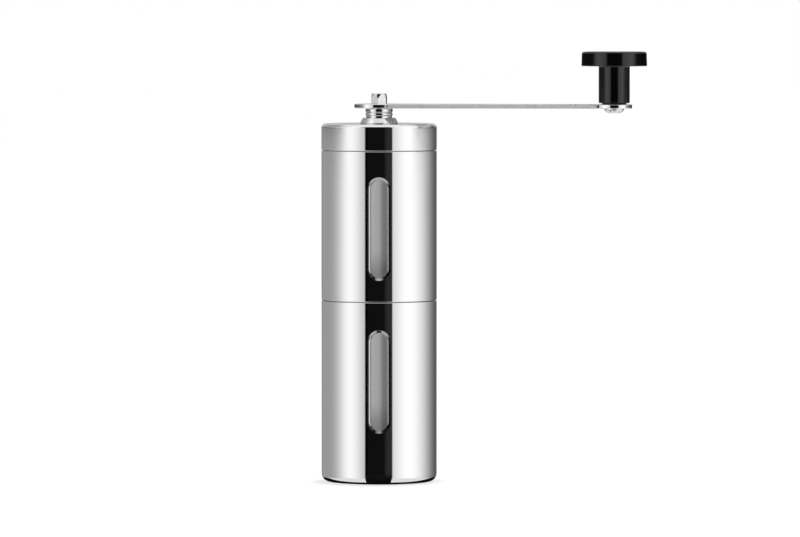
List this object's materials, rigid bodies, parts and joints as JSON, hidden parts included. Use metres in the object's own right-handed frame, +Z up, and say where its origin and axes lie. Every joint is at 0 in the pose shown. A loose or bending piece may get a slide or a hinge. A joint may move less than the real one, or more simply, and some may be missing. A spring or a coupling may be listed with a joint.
{
  "type": "manual coffee grinder",
  "caption": "Slim cylindrical hand coffee grinder with window slots, a lift-off lid, a long flat crank with a round knob, and adjustable conical burrs inside.",
  "frame": {"origin": "centre of the flat bottom, on the drive shaft's axis", "axes": "+Z up along the drive shaft; the windows face -Y; at rest the crank points towards +X, turned 7 degrees towards -Y"},
  "size_m": [0.1406, 0.0516, 0.1865],
  "materials": {
    "polished_steel": "mirror-polished stainless steel",
    "turned_steel": "turned and polished stainless steel",
    "satin_steel": "satin stainless steel, brushed along the arm",
    "shaft_steel": "ground stainless steel",
    "rivet_steel": "polished stainless steel",
    "spring_steel": "spring steel",
    "frosted_plastic": "frosted translucent plastic",
    "black_gloss": "glossy black moulded plastic",
    "black_nylon": "matte black moulded nylon",
    "white_ceramic": "unglazed white ceramic",
    "bearing_brass": "turned brass",
    "clear_silicone": "milky silicone"
  },
  "bodies": {
    "canister": {"lower_shell": "polished_steel", "lower_liner": "frosted_plastic"},
    "upper": {"upper_shell": "polished_steel", "upper_liner": "frosted_plastic", "burr_holder": "black_nylon", "joint_seal": "clear_silicone", "outer_burr": "white_ceramic", "burr_retainer": "black_nylon", "retainer_screws": "rivet_steel", "lower_bush": "bearing_brass", "shaft_bridge": "black_nylon", "upper_bush": "bearing_brass"},
    "lid": {"lid_shell": "polished_steel", "lid_insert": "black_nylon", "lid_seal": "clear_silicone", "lid_collar": "turned_steel", "collar_ring": "spring_steel", "lid_bush": "turned_steel", "bush_clip": "spring_steel"},
    "shaft": {"drive_shaft": "shaft_steel", "thrust_washer": "spring_steel", "shaft_clip": "spring_steel", "spring_seat": "spring_steel", "burr_spring": "spring_steel"},
    "burr": {"inner_burr": "white_ceramic", "burr_core": "black_nylon", "nut_washer": "spring_steel"},
    "nut": {"adjust_nut": "black_nylon", "nut_insert": "bearing_brass"},
    "crank": {"crank_arm": "satin_steel", "knob_spindle": "rivet_steel", "knob_washer": "black_nylon", "knob_clip": "spring_steel"},
    "knob": {"knob_grip": "black_gloss", "knob_plug": "black_gloss"}
  },
  "joints": [
    {"name": "canister_pull", "type": "slide", "parent": "canister", "child": "upper", "axis": [0, 0, 1], "range_m": [0, 0.05]},
    {"name": "crank_spin", "type": "hinge", "parent": "upper", "child": "shaft", "pos_m": [0, 0, 0.12], "axis": [0, 0, 1], "continuous": true},
    {"name": "crank_lift", "type": "slide", "parent": "shaft", "child": "crank", "axis": [0, 0, 1], "range_m": [0, 0.06]},
    {"name": "knob_spin", "type": "hinge", "parent": "crank", "child": "knob", "pos_m": [0.10144, -0.01246, 0.172], "axis": [0, 0, 1], "continuous": true},
    {"name": "lid_lift", "type": "slide", "parent": "upper", "child": "lid", "axis": [0, 0, 1], "range_m": [0, 0.03]},
    {"name": "burr_shift", "type": "slide", "parent": "shaft", "child": "burr", "axis": [0, 0, 1], "range_m": [-0.0012, 0.0008], "deforming": ["burr_spring"]},
    {"name": "nut_turn", "type": "hinge", "parent": "burr", "child": "nut", "pos_m": [0, 0, 0.061], "axis": [0, 0, 1], "range_deg": [-540, 360]}
  ],
  "couplings": [
    {"joint": "nut_turn", "follows": "burr_shift", "rad_per_m": 7854},
    {"joint": "lid_lift", "follows": "crank_lift", "ratio": 0.5}
  ]
}
